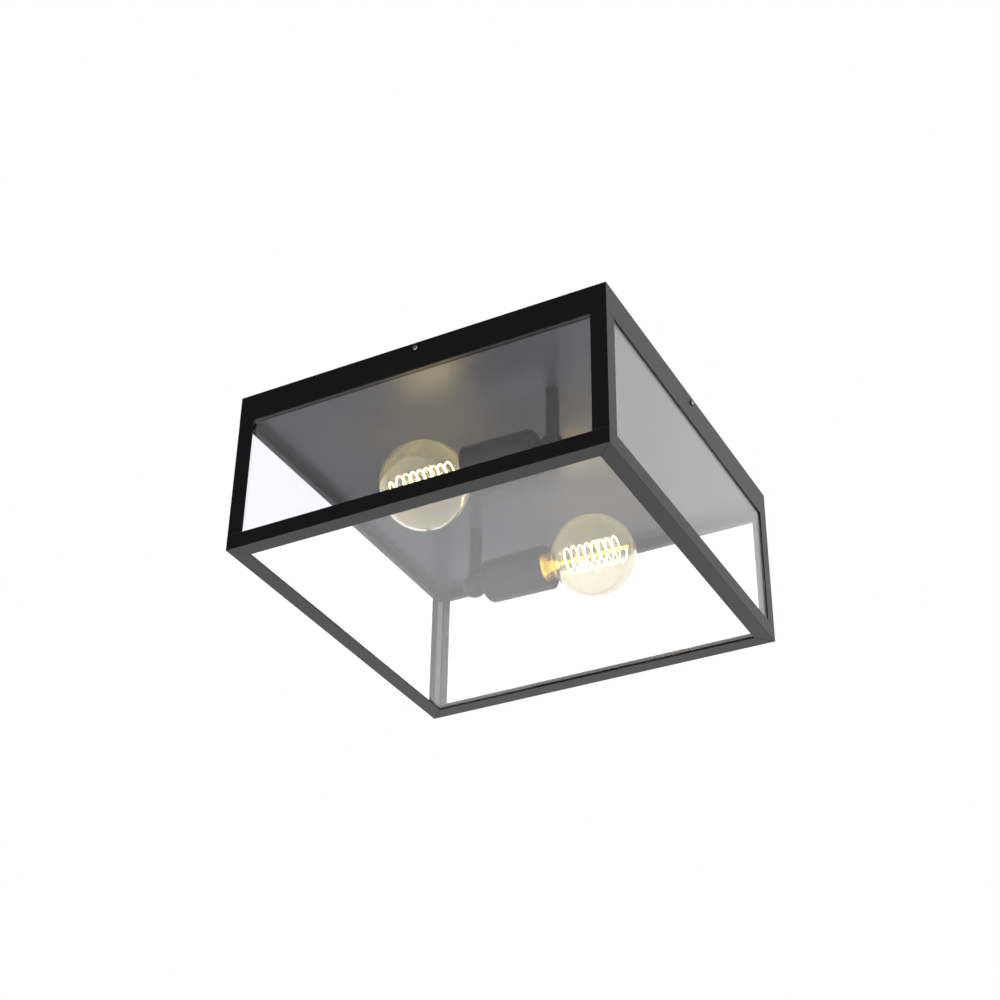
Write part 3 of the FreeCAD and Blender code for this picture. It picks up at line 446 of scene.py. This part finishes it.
def globe_profile():
    """Outer then inner line of the envelope: a straight neck, a hollow tangent to
    it, and the sphere tangent to the hollow; the inner line is one wall inside."""
    rise = NECK_R + HOLLOW
    reach = GLOBE_R + HOLLOW
    start = GLOBE_CENTRE - math.sqrt(reach ** 2 - rise ** 2)
    lean = math.degrees(math.atan2(rise, GLOBE_CENTRE - start))
    runs = [(-NECK_IN, NECK_R)]
    runs.append(arc((start, rise), HOLLOW, -90, -lean, 12))
    runs.append(arc((GLOBE_CENTRE, 0), GLOBE_R, 180 - lean, 0, 72))
    runs.append(arc((GLOBE_CENTRE, 0), GLOBE_R - GLASS, 0, 180 - lean, 72))
    runs.append(arc((start, rise), HOLLOW + GLASS, -lean, -90, 12))
    runs.append((-NECK_IN, NECK_R - GLASS))
    return profile(*runs)


def cap_profile(columns):
    """E27 cap with its rolled thread: the wall's radius falls and rises once each
    pitch of length less the turn, and fades out to the rim and to the taper."""
    a = np.concatenate([np.linspace(0, -21, 106), [-22.2, -23.5, -23.5, -22.0],
                        np.linspace(-20.8, 0, 105)])
    crest = np.concatenate([np.full(106, 13.1), [11.6, 9.6, 9.1, 11.2], np.full(105, 12.75)])
    angle = np.linspace(0, 2 * np.pi, columns, endpoint=False)
    wave = 0.5 - 0.5 * np.cos(2 * np.pi * (a[:, None] / PITCH - angle / (2 * np.pi)))
    fade = np.clip((-a - 7.5) / 2.5, 0, 1) * np.clip((a + 21.2) / 1.5, 0, 1)
    return a, crest[:, None] - THREAD_DEPTH * wave * fade[:, None]


for name, facing in (("1", -1), ("2", 1)):
    low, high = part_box("lamp_cap_" + name)
    rim = low.x if facing < 0 else high.x
    centre = np.array((rim, (low.y + high.y) / 2, (low.z + high.z) / 2))

    a, r = globe_profile()
    mesh = turned("globe_" + name, a * MM, r * MM, centre, facing, 128)
    stand_in("globe_" + name, mesh, lamp_glass, "lamp_globe_" + name)

    a, r = cap_profile(96)
    mesh = turned("screw_cap_" + name, a * MM, r * MM, centre, facing, 96)
    stand_in("screw_cap_" + name, mesh, brass, "lamp_cap_" + name)


# ----------------------------------------------------- carried-over pieces

paint(["arm_tube_1", "arm_tube_2", "corner_ball_1", "corner_ball_2"], enamel)
# the side screws' crowns carry a painted highlight
paint(["side_screw_" + side for side in SIDES], blackened_steel_painted_highlight)
paint(["lampholder_insert_1", "lampholder_insert_2"], phenolic)
paint(["thread_shell_1", "thread_shell_2", "contact_tongue_1", "contact_tongue_2",
       "terminal_tubes", "earth_terminal"], brass)
paint(["arm_nipples", "arm_nuts", "arm_washers", "holder_nipples", "holder_nuts",
       "insert_screws", "terminal_screws", "block_fixing", "screw_nuts"], zinc_plate)
paint(["terminal_block"], polyamide)
paint(["silicone_beads"], silicone)
paint(["lamp_insulator_1", "lamp_insulator_2"], vitrite)
paint(["lamp_stem_1", "lamp_stem_2"], stem_glass)
paint(["lamp_filament_1", "lamp_filament_2"], glow)


# ------------------------------------------------------------------ studio

THROUGH_GLASS = 1.25    # makes up for what two panes take from the white behind them
FLOOR_MIRRORED = 1.55   # how bright the lamps make the floor to what mirrors it
FILL = 0.6              # the room's plain light on the lantern
FLAG = (-0.33, -0.77, 0.55)     # where a dark studio flag stands, seen from the lantern


def make_world():
    """A white room. The camera sees it white, also through glass. What mirrors it sees
    it white but for a dark flag at the front left, above. Other rays get a plain fill."""
    world = bpy.data.worlds.new("white_room")
    world.use_nodes = True
    bpy.context.scene.world = world
    tree = world.node_tree
    tree.nodes.clear()
    path = add(tree, "ShaderNodeLightPath")
    place = add(tree, "ShaderNodeTexCoord")
    facing = add(tree, "ShaderNodeVectorMath", {"operation": "DOT_PRODUCT", 1: FLAG},
                 {0: place.outputs["Generated"]})
    lit = add(tree, "ShaderNodeMapRange", {"interpolation_type": "SMOOTHSTEP", "From Min": 0.45,
                                           "From Max": 0.85, "To Min": 1.0, "To Max": 0.03},
              {"Value": facing.outputs["Value"]})
    mirrored = add(tree, "ShaderNodeBackground", {"Color": (1, 1, 1, 1)},
                   {"Strength": lit.outputs["Result"]})
    white = add(tree, "ShaderNodeBackground", {"Color": (1, 1, 1, 1), "Strength": 1.0})
    through = add(tree, "ShaderNodeBackground",
                  {"Color": (1, 1, 1, 1), "Strength": THROUGH_GLASS})
    room = add(tree, "ShaderNodeBackground", {"Color": (1, 1, 1, 1), "Strength": FILL})
    for ray, look in (("Is Glossy Ray", mirrored), ("Is Transmission Ray", through),
                      ("Is Camera Ray", white)):
        room = add(tree, "ShaderNodeMixShader", feeds={
            0: path.outputs[ray], 1: room.outputs[0], 2: look.outputs[0]})
    add(tree, "ShaderNodeOutputWorld", feeds={"Surface": room.outputs[0]})


def softbox(name, at, size, watts):
    """A square area lamp aimed at the lantern's middle, which glass doesn't mirror."""
    data = bpy.data.lights.new(name, "AREA")
    data.size = size
    data.energy = watts
    lamp = bpy.data.objects.new(name, data)
    lamp.visible_glossy = False
    bpy.context.scene.collection.objects.link(lamp)
    aim = np.array((0, 0, -0.08)) - np.array(at)
    aim /= np.linalg.norm(aim)
    side = np.cross(aim, (0, 0, 1))
    side /= np.linalg.norm(side)
    place = np.eye(4)
    place[:3, :3] = np.array([side, np.cross(side, aim), -aim]).T
    place[:3, 3] = at
    lamp.matrix_world = Matrix(place.tolist())


def make_floor():
    """A pale floor well below the lantern and the camera."""
    half, level = 6.0, -1.7
    points = np.array([[[-half, -half, level], [half, -half, level]],
                       [[-half, half, level], [half, half, level]]])
    mesh = surface("studio_floor", points, wrap_columns=False)
    # matt floor paint, rolled: pale, with the room's white mixed in where it is seen,
    # so that its shadow stays, and quite white to glass and gloss
    floor_paint, tree, shader = new_finish("floor_paint_rolled_pale",
                                           {"Base Color": linear("F2F2F0")})
    grain(tree, shader, 40.0, 0.2, 0.6, 0.8)
    path = add(tree, "ShaderNodeLightPath")
    look = shader.outputs["BSDF"]
    for ray, share, strength in (("Is Camera Ray", 0.6, 1.0),
                                 ("Is Glossy Ray", 1.0, FLOOR_MIRRORED),
                                 ("Is Transmission Ray", 1.0, THROUGH_GLASS)):
        white = add(tree, "ShaderNodeEmission", {"Color": (1, 1, 1, 1), "Strength": strength})
        part = add(tree, "ShaderNodeMath", {"operation": "MULTIPLY", 1: share},
                   {0: path.outputs[ray]})
        mix = add(tree, "ShaderNodeMixShader", feeds={
            0: part.outputs[0], 1: look, 2: white.outputs[0]})
        look = mix.outputs[0]
    output = next(n for n in tree.nodes if n.type == "OUTPUT_MATERIAL")
    tree.links.new(look, output.inputs["Surface"])
    mesh.materials.append(floor_paint)
    floor = bpy.data.objects.new("studio_floor", mesh)
    bpy.context.scene.collection.objects.link(floor)


make_camera()
make_world()
make_floor()
softbox("softbox_right", (1.8, -0.4, -0.5), 1.2, 8)
softbox("softbox_below", (-0.3, -0.8, -1.5), 1.2, 14)
bpy.context.scene.view_settings.view_transform = "Standard"
